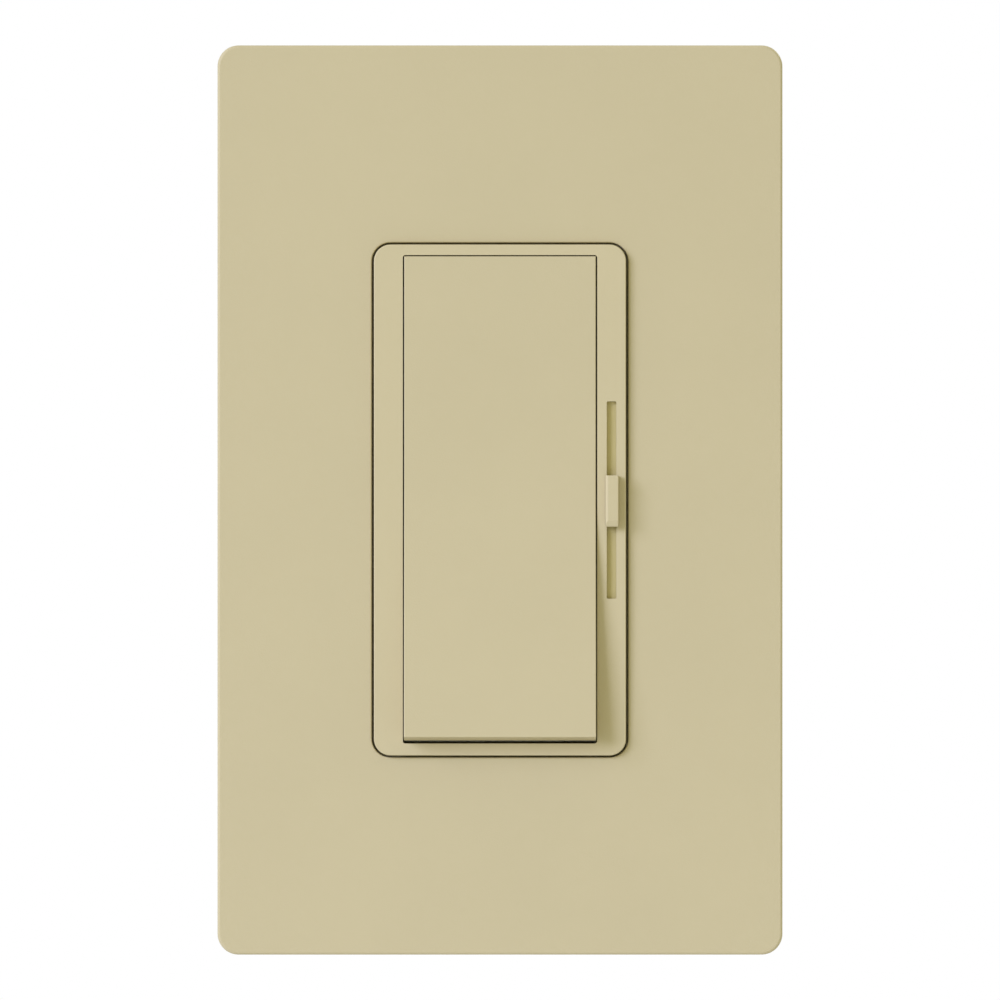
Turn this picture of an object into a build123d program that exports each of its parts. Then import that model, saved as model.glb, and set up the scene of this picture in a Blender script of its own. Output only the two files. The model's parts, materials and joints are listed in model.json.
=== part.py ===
from build123d import *
import os
from math import cos, pi, radians, sin

os.makedirs("parts", exist_ok=True)

# A paddle dimmer with a slide control, in its screwless wall plate. Millimetres.
# Frame: X to the right, Y into the wall, Z up. The origin is the centre of the wall plane that the
# cover rests on, so the front of the dimmer lies at -Y and its housing at +Y.

# ---------------------------------------------------------------- driving dimensions
# cover plate
plate_width = 74.0
plate_height = 119.1
plate_front_width = 73.28
plate_front_height = 117.96
plate_depth = 7.6
plate_wall = 1.6
plate_corner = 2.75
plate_edge = 0.35
opening_width = 33.3
opening_height = 66.82
opening_corner = 2.45
opening_edge = 0.18

# inner plate under the cover
adapter_gap = 0.3
adapter_web = 1.5
adapter_rim = 1.4
adapter_front = -5.6
adapter_rim_y = -0.3
plate_screw_z = 48.4

# dimmer front
bezel_front = -8.45
bezel_width = 32.68
bezel_height = 66.25
bezel_corner = 2.15
bezel_edge = 0.15
bezel_skin = 1.3
slot_skin = 0.6
paddle_opening_width = 25.21
paddle_opening_top = 31.75
paddle_opening_bottom = -31.57
slot_x = 14.46
slot_width = 1.25
slot_height = 25.6

# paddle
paddle_width = 24.85
paddle_top = 31.6
paddle_low_front = -30.65
paddle_low_back = -31.18
paddle_proud = 3.0
paddle_skin = 1.4
paddle_skirt = -4.5
paddle_bend_z = 0.0
paddle_bend_radius = 90.0
pivot_y = -4.0
pivot_z = 29.0
pivot_r = 1.2

# slider
knob_width = 1.68
knob_height = 6.62
knob_x_shift = 0.06
knob_z = -0.13
knob_proud = 1.4
slider_travel = 19.0
stem_width = 0.95
stem_height = 4.6

# yoke and box screws
yoke_back = -0.1
yoke_thickness = 1.5
yoke_length = 106.4
yoke_width = 64.0
box_screw_z = 41.67
screw_r = 1.75

# housing
housing_width = 44.5
housing_height = 66.0
housing_depth = 28.0
housing_wall = 1.6
boss_x = 19.3
boss_z = 29.0
lead_hole_r = 1.6
lead_hole_pitch = 9.0
lead_hole_z = -24.5

# inside
sheet_thickness = 0.4
board_front = 7.2
board_thickness = 1.6
plunger_z = -20.0
rocker_y = 12.0
rocker_rest_angle = -8.0

# derived levels and sizes
yoke_front = yoke_back - yoke_thickness
cavity_half_width = plate_width / 2 - plate_wall
cavity_half_height = plate_height / 2 - plate_wall
adapter_half_width = cavity_half_width - adapter_gap
adapter_half_height = cavity_half_height - adapter_gap
adapter_back = adapter_front + adapter_web
board_back = board_front + board_thickness
paddle_opening_height = paddle_opening_top - paddle_opening_bottom
paddle_opening_z = (paddle_opening_top + paddle_opening_bottom) / 2

# play round a shaft or pin, the fine gap between two seated pieces, and how far a cut runs past a face
clear = 0.05
seat = 0.02
overcut = 0.01


# ---------------------------------------------------------------- helpers
def facing(y):
    """The plane at depth y that looks out of the wall, with local axes X and Z."""
    return Plane.XZ.offset(-y)


def turn(outline, x, z, mode=Mode.ADD):
    """Turn a (radius, depth) outline about the axis along Y through (x, z)."""
    with BuildSketch(Plane(origin=(x, 0, z), x_dir=(1, 0, 0), z_dir=(0, 0, 1))) as profile:
        with BuildLine():
            Polyline(*outline, close=True)
        make_face()
    revolve(profile.sketch, axis=Axis((x, 0, z), (0, 1, 0)), mode=mode)


def rod(radius, y_back, y_front, x, z, mode=Mode.ADD):
    """A round bar along Y between two depths."""
    with BuildSketch(facing(y_back)) as disc:
        with Locations((x, z)):
            Circle(radius)
    extrude(disc.sketch, amount=y_back - y_front, mode=mode)


def bar(width, height, y_back, y_front, x, z, mode=Mode.ADD, corner=0.0):
    """A rectangular bar along Y between two depths, with rounded corners where asked."""
    with BuildSketch(facing(y_back)) as outline:
        with Locations((x, z)):
            if corner:
                RectangleRounded(width, height, corner)
            else:
                Rectangle(width, height)
    extrude(outline.sketch, amount=y_back - y_front, mode=mode)


def axle(radius, x_from, x_to, y, z, mode=Mode.ADD):
    """A round bar along X."""
    with BuildSketch(Plane.YZ.offset(x_from)) as disc:
        with Locations((y, z)):
            Circle(radius)
    extrude(disc.sketch, amount=x_to - x_from, mode=mode)


def side_shape(outline, x_from, x_to, mode=Mode.ADD):
    """Extrude a (depth, height) outline along X."""
    with BuildSketch(Plane.YZ.offset(x_from)) as profile:
        with BuildLine():
            Polyline(*outline, close=True)
        make_face()
    extrude(profile.sketch, amount=x_to - x_from, mode=mode)


def top_shape(outline, z_from, z_to, mode=Mode.ADD):
    """Extrude an (x, depth) outline along Z."""
    with BuildSketch(Plane.XY.offset(z_from)) as profile:
        with BuildLine():
            Polyline(*outline, close=True)
        make_face()
    extrude(profile.sketch, amount=z_to - z_from, mode=mode)


# ---------------------------------------------------------------- wallplate
snap_places = (-36.0, 0.0, 36.0)
snap_length = 12.0
snap_y = -2.1
snap_half_depth = 0.7
snap_reach = 0.7
bead_root = 0.2
notch_width = 8.0
notch_front = -1.6

with BuildPart() as wallplate:
    # flat sides that lean in towards the front, more at the ends than at the sides
    side_outline = [
        (0, -plate_height / 2),
        (-plate_depth, -plate_front_height / 2),
        (-plate_depth, plate_front_height / 2),
        (0, plate_height / 2),
    ]
    side_shape(side_outline, -plate_width / 2, plate_width / 2)
    top_outline = [
        (-plate_width / 2, 0),
        (-plate_front_width / 2, -plate_depth),
        (plate_front_width / 2, -plate_depth),
        (plate_width / 2, 0),
    ]
    top_shape(top_outline, -plate_height / 2, plate_height / 2, mode=Mode.INTERSECT)
    side_edges = wallplate.edges().filter_by(lambda e: abs(e.center().X) > plate_front_width / 2)
    fillet(side_edges.filter_by(lambda e: abs(e.center().Z) > plate_front_height / 2), plate_corner)
    fillet(wallplate.faces().sort_by(Axis.Y)[0].edges(), plate_edge)
    with BuildSketch(facing(0)):
        RectangleRounded(2 * cavity_half_width, 2 * cavity_half_height, plate_corner - plate_wall)
    extrude(amount=plate_depth - plate_wall, mode=Mode.SUBTRACT)
    with BuildSketch(facing(0)):
        RectangleRounded(opening_width, opening_height, opening_corner)
    extrude(amount=plate_depth, mode=Mode.SUBTRACT)
    fillet(wallplate.faces().sort_by(Axis.Y)[0].inner_wires().edges(), opening_edge)
    # snap beads along the long walls
    for side in (-1, 1):
        bead = [
            (side * (cavity_half_width + bead_root), snap_y - snap_half_depth),
            (side * (cavity_half_width - snap_reach), snap_y),
            (side * (cavity_half_width + bead_root), snap_y + snap_half_depth),
        ]
        for z in snap_places:
            top_shape(bead, z - snap_length / 2, z + snap_length / 2)
    # notch in the lower rim for prising the cover off
    bar(notch_width, 2 * plate_wall, 0, notch_front, 0, -plate_height / 2, mode=Mode.SUBTRACT)
wallplate.part.label = "wallplate"
export_step(wallplate.part, "parts/wallplate.step")

# ---------------------------------------------------------------- adapter_plate
adapter_boss_r = 2.9
window_gap = 0.08
adapter_corner = 1.4
adapter_edge = 0.5
pocket_corner = 0.8
web_root = 0.2
snap_window_length = snap_length + 1.6
snap_window_width = 4.0
snap_window_back = -1.1
snap_window_front = -3.1
rib_height = 1.0
rib_thickness = 1.2
rib_inset = 1.0
rib_x = 27.0
relief_width = 3.0
relief_length = 16.0
relief_corner = 1.4
relief_place = 22.0
lower_gap_height = 6.0
head_r = 3.5
head_sink = 1.9
screw_hole_r = 2.0

with BuildPart() as adapter_plate:
    with BuildSketch(facing(adapter_rim_y)):
        RectangleRounded(2 * adapter_half_width, 2 * adapter_half_height, adapter_corner)
    extrude(amount=adapter_rim_y - adapter_front)
    chamfer(adapter_plate.faces().sort_by(Axis.Y)[0].edges(), adapter_edge)
    bar(
        2 * (adapter_half_width - adapter_rim),
        2 * (adapter_half_height - adapter_rim),
        0,
        adapter_back,
        0,
        0,
        mode=Mode.SUBTRACT,
        corner=pocket_corner,
    )
    for z in (plate_screw_z, -plate_screw_z):
        rod(adapter_boss_r, yoke_front, adapter_back - web_root, 0, z)
    # ribs from the bosses to the rim
    rib_back = adapter_back + rib_height
    rib_front = adapter_back - web_root
    for z in (plate_screw_z, -plate_screw_z):
        bar(2 * (adapter_half_width - rib_inset), rib_thickness, rib_back, rib_front, 0, z)
    for x in (-rib_x, rib_x):
        bar(rib_thickness, 2 * (adapter_half_height - rib_inset), rib_back, rib_front, x, 0)
    # window for the dimmer
    bar(
        bezel_width + 2 * window_gap,
        bezel_height + 2 * window_gap,
        0,
        adapter_front,
        0,
        0,
        mode=Mode.SUBTRACT,
        corner=bezel_corner + window_gap,
    )
    # countersunk screw holes
    for z in (plate_screw_z, -plate_screw_z):
        countersink = [
            (0, yoke_front),
            (screw_hole_r, yoke_front),
            (screw_hole_r, adapter_front + head_sink),
            (head_r + 0.15, adapter_front),
            (0, adapter_front),
        ]
        turn(countersink, 0, z, mode=Mode.SUBTRACT)
    # windows that the cover's snap beads drop into
    for side in (-1, 1):
        for z in snap_places:
            bar(
                snap_window_width,
                snap_window_length,
                snap_window_back,
                snap_window_front,
                side * adapter_half_width,
                z,
                mode=Mode.SUBTRACT,
            )
    # relief slots through the web
    for side in (-1, 1):
        for z in (-relief_place, relief_place):
            bar(
                relief_width,
                relief_length,
                0,
                adapter_front,
                side * relief_place,
                z,
                mode=Mode.SUBTRACT,
                corner=relief_corner,
            )
    # gap in the lower rim behind the prising notch
    bar(notch_width, lower_gap_height, 0, notch_front, 0, -adapter_half_height, mode=Mode.SUBTRACT)
adapter_plate.part.label = "adapter_plate"
export_step(adapter_plate.part, "parts/adapter_plate.step")

# ---------------------------------------------------------------- adapter_screws
adapter_screw_end = 4.0
slot_cut_width = 0.8
slot_cut_depth = 0.9

with BuildPart() as adapter_screws:
    for z in (plate_screw_z, -plate_screw_z):
        outline = [
            (0, adapter_front + clear),
            (head_r, adapter_front + clear),
            (screw_r, adapter_front + head_sink),
            (screw_r, adapter_screw_end - 0.6),
            (screw_r - 0.6, adapter_screw_end),
            (0, adapter_screw_end),
        ]
        turn(outline, 0, z)
        slot_floor = adapter_front + clear + slot_cut_depth
        bar(2 * head_r + 1, slot_cut_width, slot_floor, adapter_front - 1, 0, z, mode=Mode.SUBTRACT)
adapter_screws.part.label = "adapter_screws"
export_step(adapter_screws.part, "parts/adapter_screws.step")

# ---------------------------------------------------------------- bezel
outer_wall = 0.65
inner_wall = 0.6
channel_inner = paddle_opening_width / 2 + inner_wall
channel_outer = bezel_width / 2 - outer_wall
channel_centre = (channel_inner + channel_outer) / 2
channel_width = channel_outer - channel_inner
channel_height = 63.5
bearing_boss_r = 2.0
bearing_boss_end = 14.2
leg_z = 23.0
leg_height = 4.0
leg_x = 14.45
leg_thickness = 1.3
leg_end = 1.6
leg_root = -5.0
leg_hook_front = 0.1
leg_hook_back = 1.4
leg_hook_reach = 0.5
paddle_opening_corner = 0.35
slot_corner = 0.2

with BuildPart() as bezel:
    with BuildSketch(facing(yoke_front)):
        RectangleRounded(bezel_width, bezel_height, bezel_corner)
    extrude(amount=yoke_front - bezel_front)
    fillet(bezel.faces().sort_by(Axis.Y)[0].edges(), bezel_edge)
    bar(
        paddle_opening_width,
        paddle_opening_height,
        yoke_front,
        bezel_front,
        0,
        paddle_opening_z,
        mode=Mode.SUBTRACT,
        corner=paddle_opening_corner,
    )
    # hollow side channels, the right one for the slider
    for side, skin in ((-1, bezel_skin), (1, slot_skin)):
        bar(
            channel_width,
            channel_height,
            yoke_front,
            bezel_front + skin,
            side * channel_centre,
            0,
            mode=Mode.SUBTRACT,
        )
    # bearing bosses for the paddle's stub axles
    for side in (-1, 1):
        inner = side * (paddle_opening_width / 2)
        axle(bearing_boss_r, inner, side * bearing_boss_end, pivot_y, pivot_z)
        axle(pivot_r + clear, inner, side * bearing_boss_end, pivot_y, pivot_z, mode=Mode.SUBTRACT)
    # snap legs through the yoke
    for side in (-1, 1):
        for end in (-1, 1):
            z = end * leg_z
            bar(channel_width + 0.4, leg_height, yoke_front, leg_root, side * channel_centre, z)
            bar(leg_thickness, leg_height, leg_end, leg_root, side * leg_x, z)
            leg_face = leg_x + leg_thickness / 2
            hook = [
                (side * leg_face, leg_hook_front),
                (side * (leg_face + leg_hook_reach), leg_hook_front),
                (side * leg_face, leg_hook_back),
            ]
            top_shape(hook, z - leg_height / 2, z + leg_height / 2)
    # slider slot
    bar(slot_width, slot_height, 0, bezel_front, slot_x, 0, mode=Mode.SUBTRACT, corner=slot_corner)
bezel.part.label = "bezel"
export_step(bezel.part, "parts/bezel.step")

# ---------------------------------------------------------------- paddle
paddle_low_y = bezel_front - paddle_proud
paddle_edge = 0.12
paddle_wall = 1.2
ear_r = 1.85
stub_end = 14.0
pad_width = 7.0
pad_height = 6.0
pad_back = -6.95
rest_leg_x = 10.9
rest_leg_width = 2.4
rest_leg_end = 1.4
rest_leg_low = -29.95
rest_leg_high = -28.75
hook_y = 0.15
hook_reach = 0.9
paddle_rib_places = (18.0, 2.0)
paddle_rib_thickness = 0.9

with BuildPart() as paddle:
    # side outline: upper half upright, lower half leaning out, joined by a long concave curve
    with BuildSketch(Plane.YZ.offset(-paddle_width / 2)):
        with BuildLine():
            front = FilletPolyline(
                (bezel_front, paddle_top),
                (bezel_front, paddle_bend_z),
                (paddle_low_y, paddle_low_front),
                radius=paddle_bend_radius,
            )
            Polyline(
                front @ 1,
                (bezel_front, paddle_low_back),
                (paddle_skirt, paddle_low_back),
                (paddle_skirt, paddle_top),
                front @ 0,
            )
        make_face()
    extrude(amount=paddle_width)
    front_faces = paddle.faces().filter_by(lambda f: f.normal_at().Y < -0.9)
    outer_edges = front_faces.edges().filter_by(lambda e: abs(e.center().X) > 1 or abs(e.center().Z) > 30)
    fillet(outer_edges, paddle_edge)
    # hollow behind the front skin
    with BuildSketch(Plane.YZ.offset(-paddle_width / 2 + paddle_wall)):
        with BuildLine():
            inner = FilletPolyline(
                (bezel_front + paddle_skin, paddle_top - paddle_wall),
                (bezel_front + paddle_skin, paddle_bend_z),
                (paddle_low_y + paddle_skin, paddle_low_front + paddle_wall),
                radius=paddle_bend_radius,
            )
            Polyline(
                inner @ 1,
                (paddle_skirt, paddle_low_front + paddle_wall - 0.3),
                (paddle_skirt, paddle_top - paddle_wall),
                inner @ 0,
            )
        make_face()
    extrude(amount=paddle_width - 2 * paddle_wall, mode=Mode.SUBTRACT)
    # stiffening ribs and the pad that pushes the plunger
    for z in paddle_rib_places:
        bar(paddle_width - 1.0, paddle_rib_thickness, paddle_skirt - 1.0, bezel_front + 0.8, 0, z)
    bar(pad_width, pad_height, pad_back, bezel_front - 1.2, 0, plunger_z)
    # ears and stub axles at the top
    for side in (-1, 1):
        outer = side * paddle_width / 2
        axle(ear_r, outer, side * (paddle_width / 2 - paddle_wall), pivot_y, pivot_z)
        axle(pivot_r, side * (paddle_width / 2 - paddle_wall), side * stub_end, pivot_y, pivot_z)
    # hooked legs that stop the paddle at rest against the back of the yoke
    for x in (-rest_leg_x, rest_leg_x):
        hooked_leg = [
            (bezel_front, rest_leg_low),
            (hook_y, rest_leg_low),
            (hook_y, rest_leg_low - hook_reach),
            (rest_leg_end, rest_leg_low - 0.25),
            (rest_leg_end, rest_leg_high),
            (bezel_front, rest_leg_high),
        ]
        side_shape(hooked_leg, x - rest_leg_width / 2, x + rest_leg_width / 2)
paddle.part.label = "paddle"
export_step(paddle.part, "parts/paddle.step")

# ---------------------------------------------------------------- slider_knob
knob_back = bezel_front - 0.12
knob_front = bezel_front - knob_proud
knob_x = slot_x + knob_x_shift
knob_low = knob_z - knob_height / 2
knob_high = knob_z + knob_height / 2
knob_slope_height = 0.75
knob_slope_depth = 0.28
knob_edge = 0.14
knob_left_edge = 0.34
knob_edge_from = 0.6
lever_play = 0.06
lever_end_play = 0.1
shutter_front = bezel_front + slot_skin + 0.1
shutter_thickness = 0.6
socket_width = 2.2
socket_height = 5.4
socket_end = -3.6
lever_width = 1.2
lever_height = 4.0
lever_tip = -5.9

with BuildPart() as slider_knob:
    knob_side = [
        (knob_back, knob_low),
        (knob_front + knob_slope_depth, knob_low),
        (knob_front, knob_low + knob_slope_height),
        (knob_front, knob_high),
        (knob_back, knob_high),
    ]
    side_shape(knob_side, knob_x - knob_width / 2, knob_x + knob_width / 2)
    front_edges = slider_knob.edges().filter_by(lambda e: e.center().Y < knob_back - knob_edge_from)
    left_edges = front_edges.filter_by(lambda e: e.center().X < knob_x - 0.4 * knob_width)
    long_left = left_edges.sort_by(lambda e: e.length)[-1]
    fillet(long_left, knob_left_edge)
    front_edges = slider_knob.edges().filter_by(lambda e: e.center().Y < knob_back - knob_edge_from)
    right_edges = front_edges.filter_by(lambda e: e.center().X > knob_x + 0.4 * knob_width)
    fillet(right_edges, knob_edge)
    # stem through the slot and the shutter, then the socket for the lever
    bar(stem_width, stem_height, socket_end, knob_back, slot_x, 0)
    socket_front = shutter_front + shutter_thickness
    bar(socket_width, socket_height, socket_end, socket_front, slot_x, 0)
    bar(
        lever_width + lever_play,
        lever_height + lever_end_play,
        socket_end,
        lever_tip - lever_end_play,
        slot_x,
        0,
        mode=Mode.SUBTRACT,
    )
slider_knob.part.label = "slider_knob"
export_step(slider_knob.part, "parts/slider_knob.step")

# ---------------------------------------------------------------- slider_shutter
shutter_width = 2.2
shutter_length = 44.2

with BuildPart() as slider_shutter:
    shutter_back = shutter_front + shutter_thickness
    bar(shutter_width, shutter_length, shutter_back, shutter_front, slot_x, 0, corner=0.5)
    bar(
        stem_width + lever_play,
        stem_height + lever_end_play,
        0,
        bezel_front,
        slot_x,
        0,
        mode=Mode.SUBTRACT,
    )
slider_shutter.part.label = "slider_shutter"
export_step(slider_shutter.part, "parts/slider_shutter.step")

# ---------------------------------------------------------------- yoke
ear_half_width = 11.5
fin_half_height = 37.0
fin_corner = 1.5
ear_corner = 3.0
fin_groove_x = 24.5
groove_half_width = 0.5
groove_depth = 0.6
plaster_ear_x = 17.0
plaster_ear_z = 49.5
plaster_ear_height = 6.0
ear_groove_x = ear_half_width + 0.2
ear_groove_half_width = 0.4
oval_length = 7.4
oval_height = 4.2
housing_screw_hole_r = 1.5
thread_play = 0.03
plunger_window_r = 4.8
triac_x = -7.0
triac_rivet_z = 20.5
rivet_r = 1.6
ground_x = -8.2
ground_z = -38.6
ground_rivet_r = 1.3

with BuildPart() as yoke:
    bar(yoke_width, 2 * fin_half_height, yoke_back, yoke_front, 0, 0, corner=fin_corner)
    bar(2 * ear_half_width, yoke_length, yoke_back, yoke_front, 0, 0, corner=ear_corner)
    # break-off plaster ears beside both ends
    for end in (-1, 1):
        bar(2 * plaster_ear_x, plaster_ear_height, yoke_back, yoke_front, 0, end * plaster_ear_z, corner=2.0)
    # break-off grooves of the side fins and of the plaster ears
    for side in (-1, 1):
        groove = [
            (side * fin_groove_x - groove_half_width, yoke_front - overcut),
            (side * fin_groove_x + groove_half_width, yoke_front - overcut),
            (side * fin_groove_x, yoke_front + groove_depth),
        ]
        top_shape(groove, -fin_half_height, fin_half_height, mode=Mode.SUBTRACT)
        ear_groove = [
            (side * ear_groove_x - ear_groove_half_width, overcut),
            (side * ear_groove_x + ear_groove_half_width, overcut),
            (side * ear_groove_x, yoke_back - groove_depth),
        ]
        for end in (-1, 1):
            groove_low = end * plaster_ear_z - plaster_ear_height / 2
            top_shape(ear_groove, groove_low, groove_low + plaster_ear_height, mode=Mode.SUBTRACT)
    # oval holes for the box screws
    for z in (box_screw_z, -box_screw_z):
        with BuildSketch(facing(0)) as oval:
            with Locations((0, z)):
                SlotOverall(oval_length, oval_height)
        extrude(oval.sketch, amount=2 * yoke_thickness, mode=Mode.SUBTRACT)
    # tapped holes for the plate screws
    for z in (plate_screw_z, -plate_screw_z):
        rod(screw_r + thread_play, 0, yoke_front, 0, z, mode=Mode.SUBTRACT)
    # screws into the housing
    for x in (-boss_x, boss_x):
        for z in (-boss_z, boss_z):
            rod(housing_screw_hole_r, 0, yoke_front, x, z, mode=Mode.SUBTRACT)
    # plunger, lever and rivets
    rod(plunger_window_r, 0, yoke_front, 0, plunger_z, mode=Mode.SUBTRACT)
    bar(2.0, slider_travel + lever_height + 1.4, 0, yoke_front, slot_x, 0, mode=Mode.SUBTRACT, corner=0.6)
    rod(rivet_r + clear, 0, yoke_front, triac_x, triac_rivet_z, mode=Mode.SUBTRACT)
    rod(ground_rivet_r + clear, 0, yoke_front, ground_x, ground_z, mode=Mode.SUBTRACT)
    # windows for the bezel's snap legs and the paddle's hooked legs
    for side in (-1, 1):
        for end in (-1, 1):
            bar(1.6, leg_height + 0.4, 0, yoke_front, side * leg_x, end * leg_z, mode=Mode.SUBTRACT)
        window_z = (rest_leg_high + rest_leg_low) / 2 + 0.4
        bar(rest_leg_width + 0.6, 2.6, 0, yoke_front, side * rest_leg_x, window_z, mode=Mode.SUBTRACT)
yoke.part.label = "yoke"
export_step(yoke.part, "parts/yoke.step")

# ---------------------------------------------------------------- mounting_screws
box_head_r = 3.5
box_head_height = 2.3
box_neck_r = 1.5
thread_start = 1.0
box_screw_end = 24.0

with BuildPart() as mounting_screws:
    for z in (box_screw_z, -box_screw_z):
        outline = [
            (0, yoke_front - box_head_height),
            (box_head_r - 1.2, yoke_front - box_head_height),
            (box_head_r - 0.3, yoke_front - box_head_height + 0.5),
            (box_head_r, yoke_front - box_head_height + 1.2),
            (box_head_r, yoke_front - seat),
            (box_neck_r, yoke_front - seat),
            (box_neck_r, thread_start),
            (screw_r, thread_start),
            (screw_r, box_screw_end - 0.7),
            (screw_r - 0.7, box_screw_end),
            (0, box_screw_end),
        ]
        turn(outline, 0, z)
        slot_floor = yoke_front - box_head_height + slot_cut_depth
        bar(2 * box_head_r + 1, slot_cut_width, slot_floor, adapter_front, 0, z, mode=Mode.SUBTRACT)
mounting_screws.part.label = "mounting_screws"
export_step(mounting_screws.part, "parts/mounting_screws.step")

# ---------------------------------------------------------------- screw_retainers
retainer_size = 9.0
retainer_thickness = 0.8

with BuildPart() as screw_retainers:
    for z in (box_screw_z, -box_screw_z):
        bar(retainer_size, retainer_size - 1.5, retainer_thickness + seat, seat, 0, z, corner=1.2)
        rod(box_neck_r + thread_play, 1.5, -0.5, 0, z, mode=Mode.SUBTRACT)
screw_retainers.part.label = "screw_retainers"
export_step(screw_retainers.part, "parts/screw_retainers.step")

# ---------------------------------------------------------------- ground_tab
tab_thickness = 0.8
tab_ring_r = 3.0
tab_shift = 1.2
crimp_height = 4.2
crimp_wall = 0.7

with BuildPart() as ground_tab:
    rod(tab_ring_r, tab_thickness + seat, seat, ground_x, ground_z)
    bar(3.2, 6.0, tab_thickness + seat, seat, ground_x - tab_shift, ground_z - 4.0)
    rod(ground_rivet_r + clear, 2, -1, ground_x, ground_z, mode=Mode.SUBTRACT)
    # open crimp barrel
    for side in (-1, 1):
        bar(crimp_wall, crimp_height, 2.9, 0.4, ground_x - tab_shift + side * 1.25, ground_z - 4.9)
ground_tab.part.label = "ground_tab"
export_step(ground_tab.part, "parts/ground_tab.step")

# ---------------------------------------------------------------- ground_rivet
with BuildPart() as ground_rivet:
    outline = [
        (0, yoke_front - 0.9),
        (1.5, yoke_front - 0.9),
        (2.3, yoke_front - 0.3),
        (2.3, yoke_front - seat),
        (ground_rivet_r, yoke_front - seat),
        (ground_rivet_r, tab_thickness + 2 * seat),
        (2.2, tab_thickness + 2 * seat),
        (2.0, tab_thickness + 0.6),
        (0, tab_thickness + 0.8),
    ]
    turn(outline, ground_x, ground_z)
ground_rivet.part.label = "ground_rivet"
export_step(ground_rivet.part, "parts/ground_rivet.step")

# ---------------------------------------------------------------- back_housing
housing_corner = 2.6
flange_grow = 1.5
flange_thickness = 1.6
boss_r = 2.5
boss_depth = 15.0
boss_hole_r = 1.25
end_rib_places = (-12.0, 0.0, 12.0)
end_rib_width = 1.2
end_rib_height = 1.6
side_panel_depth = 0.5
cover_front = housing_depth - 2.0
inner_width = housing_width - 2 * housing_wall
inner_height = housing_height - 2 * housing_wall
inner_corner = housing_corner - housing_wall
side_panel = [(6, -24), (22, -24), (22, 24), (6, 24)]

with BuildPart() as back_housing:
    bar(housing_width, housing_height, cover_front, 0, 0, 0, corner=housing_corner)
    flange_width = housing_width + 2 * flange_grow
    flange_height = housing_height + 2 * flange_grow
    bar(flange_width, flange_height, flange_thickness, 0, 0, 0, corner=housing_corner + flange_grow)
    bar(inner_width, inner_height, cover_front, 0, 0, 0, mode=Mode.SUBTRACT, corner=inner_corner)
    # corner bosses
    for x in (-boss_x, boss_x):
        for z in (-boss_z, boss_z):
            rod(boss_r, boss_depth, clear + sheet_thickness, x, z)
            rod(boss_hole_r, boss_depth - 1.5, 0, x, z, mode=Mode.SUBTRACT)
    # shallow panels in the long sides
    for side in (-1, 1):
        face_x = side * housing_width / 2
        side_shape(side_panel, face_x - side * side_panel_depth, face_x + side, mode=Mode.SUBTRACT)
    # stiffening ribs on the outside of both ends
    for end in (-1, 1):
        rib_z = end * (housing_height / 2 + 0.2)
        for x in end_rib_places:
            bar(end_rib_width, end_rib_height, cover_front - 3, flange_thickness - 0.3, x, rib_z)
back_housing.part.label = "back_housing"
export_step(back_housing.part, "parts/back_housing.step")

# ---------------------------------------------------------------- housing_cover
lip_height = 1.4
lip_wall = 1.0
lip_gap = 0.1
collar_height = 0.8
collar_wall = 1.1
cover_edge = 1.2
blank_width = 30.0
blank_height = 26.0
blank_depth = 0.5
blank_z = 10.0
lead_exits = (-lead_hole_pitch, 0, lead_hole_pitch)

with BuildPart() as housing_cover:
    bar(housing_width, housing_height, housing_depth, cover_front + clear, 0, 0, corner=housing_corner)
    fillet(housing_cover.faces().sort_by(Axis.Y)[-1].edges(), cover_edge)
    # lip that locates the cover in the housing
    lip_width = inner_width - 2 * lip_gap
    lip_length = inner_height - 2 * lip_gap
    lip_front = cover_front - lip_height
    bar(lip_width, lip_length, cover_front + 0.5, lip_front, 0, 0, corner=inner_corner)
    bar(
        lip_width - 2 * lip_wall,
        lip_length - 2 * lip_wall,
        cover_front + clear,
        lip_front,
        0,
        0,
        mode=Mode.SUBTRACT,
    )
    # shallow blank panel
    blank_floor = housing_depth - blank_depth
    bar(blank_width, blank_height, housing_depth, blank_floor, 0, blank_z, mode=Mode.SUBTRACT, corner=1.5)
    # lead exits with raised collars
    for x in lead_exits:
        rod(lead_hole_r + collar_wall, housing_depth + collar_height, blank_floor, x, lead_hole_z)
    for x in lead_exits:
        rod(lead_hole_r, housing_depth + 1, cover_front - 1, x, lead_hole_z, mode=Mode.SUBTRACT)
housing_cover.part.label = "housing_cover"
export_step(housing_cover.part, "parts/housing_cover.step")

# ---------------------------------------------------------------- housing_screws
small_screw_r = 1.2
small_head_r = 2.3
small_head_height = 1.6

with BuildPart() as housing_screws:
    for x in (-boss_x, boss_x):
        for z in (-boss_z, boss_z):
            outline = [
                (0, yoke_front - small_head_height),
                (small_head_r - 0.8, yoke_front - small_head_height),
                (small_head_r, yoke_front - small_head_height + 0.7),
                (small_head_r, yoke_front - seat),
                (small_screw_r, yoke_front - seat),
                (small_screw_r, 9.2),
                (0.5, 10.0),
                (0, 10.0),
            ]
            turn(outline, x, z)
            cross_floor = yoke_front - small_head_height + 0.9
            bar(2.6, 0.6, cross_floor, adapter_back, x, z, mode=Mode.SUBTRACT)
            bar(0.6, 2.6, cross_floor, adapter_back, x, z, mode=Mode.SUBTRACT)
housing_screws.part.label = "housing_screws"
export_step(housing_screws.part, "parts/housing_screws.step")

# ---------------------------------------------------------------- insulator_sheet
sheet_width = 40.6
sheet_height = 62.0
pad_window_width = 13.5
pad_window_height = 19.0
pad_z = 15.0

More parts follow.
